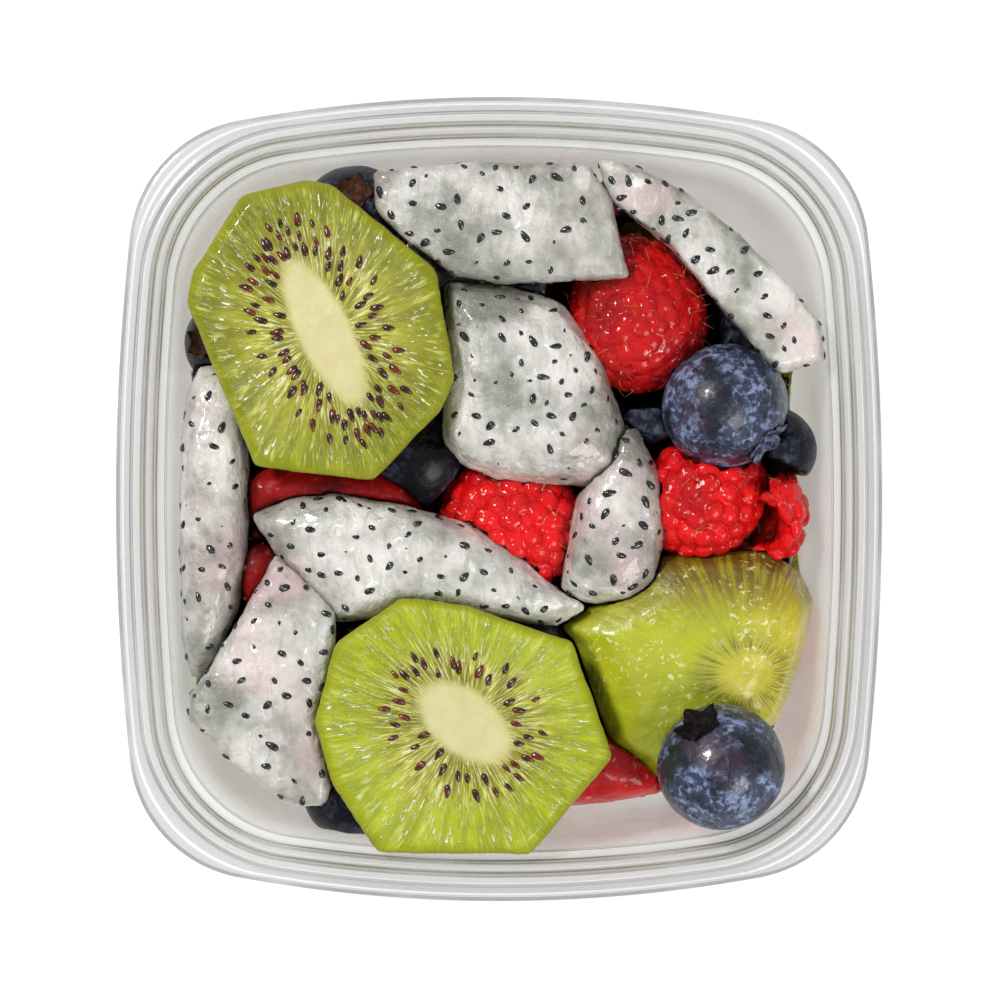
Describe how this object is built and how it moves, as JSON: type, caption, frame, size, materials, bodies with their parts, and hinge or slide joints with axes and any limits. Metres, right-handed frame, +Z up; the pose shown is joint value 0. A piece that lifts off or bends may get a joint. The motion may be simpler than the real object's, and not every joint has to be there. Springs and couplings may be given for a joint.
{
  "type": "fruit salad in a clear tub",
  "caption": "Square clear plastic tub with bowed sides and a stepped rim, filled with kiwi slices, seeded white dragon fruit, raspberries, strawberries and blueberries.",
  "frame": {"origin": "middle of the tub's base, on the surface it stands on", "axes": "+Z up, +X to the right and +Y away from a viewer who looks down on the tub as in the picture; the tub is a little longer along Y"},
  "size_m": [0.1152, 0.1208, 0.061],
  "materials": {
    "clear_plastic": "clear",
    "kiwi_flesh": "wet cut kiwi flesh",
    "dragon_fruit_flesh": "wet white fruit flesh",
    "raspberry_flesh": "soft red berry",
    "strawberry_flesh": "wet red berry",
    "blueberry_skin": "dusty blue skin",
    "mixed_fruit": "mixed fruit pieces"
  },
  "bodies": {
    "root": {"tub": "clear_plastic", "kiwi_slice_left": "kiwi_flesh", "kiwi_slice_near": "kiwi_flesh", "kiwi_end": "kiwi_flesh", "dragon_fruit_far": "dragon_fruit_flesh", "dragon_fruit_corner": "dragon_fruit_flesh", "dragon_fruit_middle": "dragon_fruit_flesh", "dragon_fruit_crescent": "dragon_fruit_flesh", "dragon_fruit_right": "dragon_fruit_flesh", "dragon_fruit_near": "dragon_fruit_flesh", "dragon_fruit_left": "dragon_fruit_flesh", "strawberry_left": "strawberry_flesh", "strawberry_edge": "strawberry_flesh", "strawberry_near": "strawberry_flesh", "raspberry_far": "raspberry_flesh", "raspberry_middle": "raspberry_flesh", "raspberry_right": "raspberry_flesh", "raspberry_open": "raspberry_flesh", "blueberry_near": "blueberry_skin", "blueberry_right": "blueberry_skin", "blueberry_far_left": "blueberry_skin", "blueberry_far_right": "blueberry_skin", "blueberry_middle": "blueberry_skin", "blueberry_centre": "blueberry_skin", "blueberry_edge": "blueberry_skin", "blueberry_left": "blueberry_skin", "blueberry_near_left": "blueberry_skin", "fruit_heap": "mixed_fruit"}
  },
  "joints": []
}
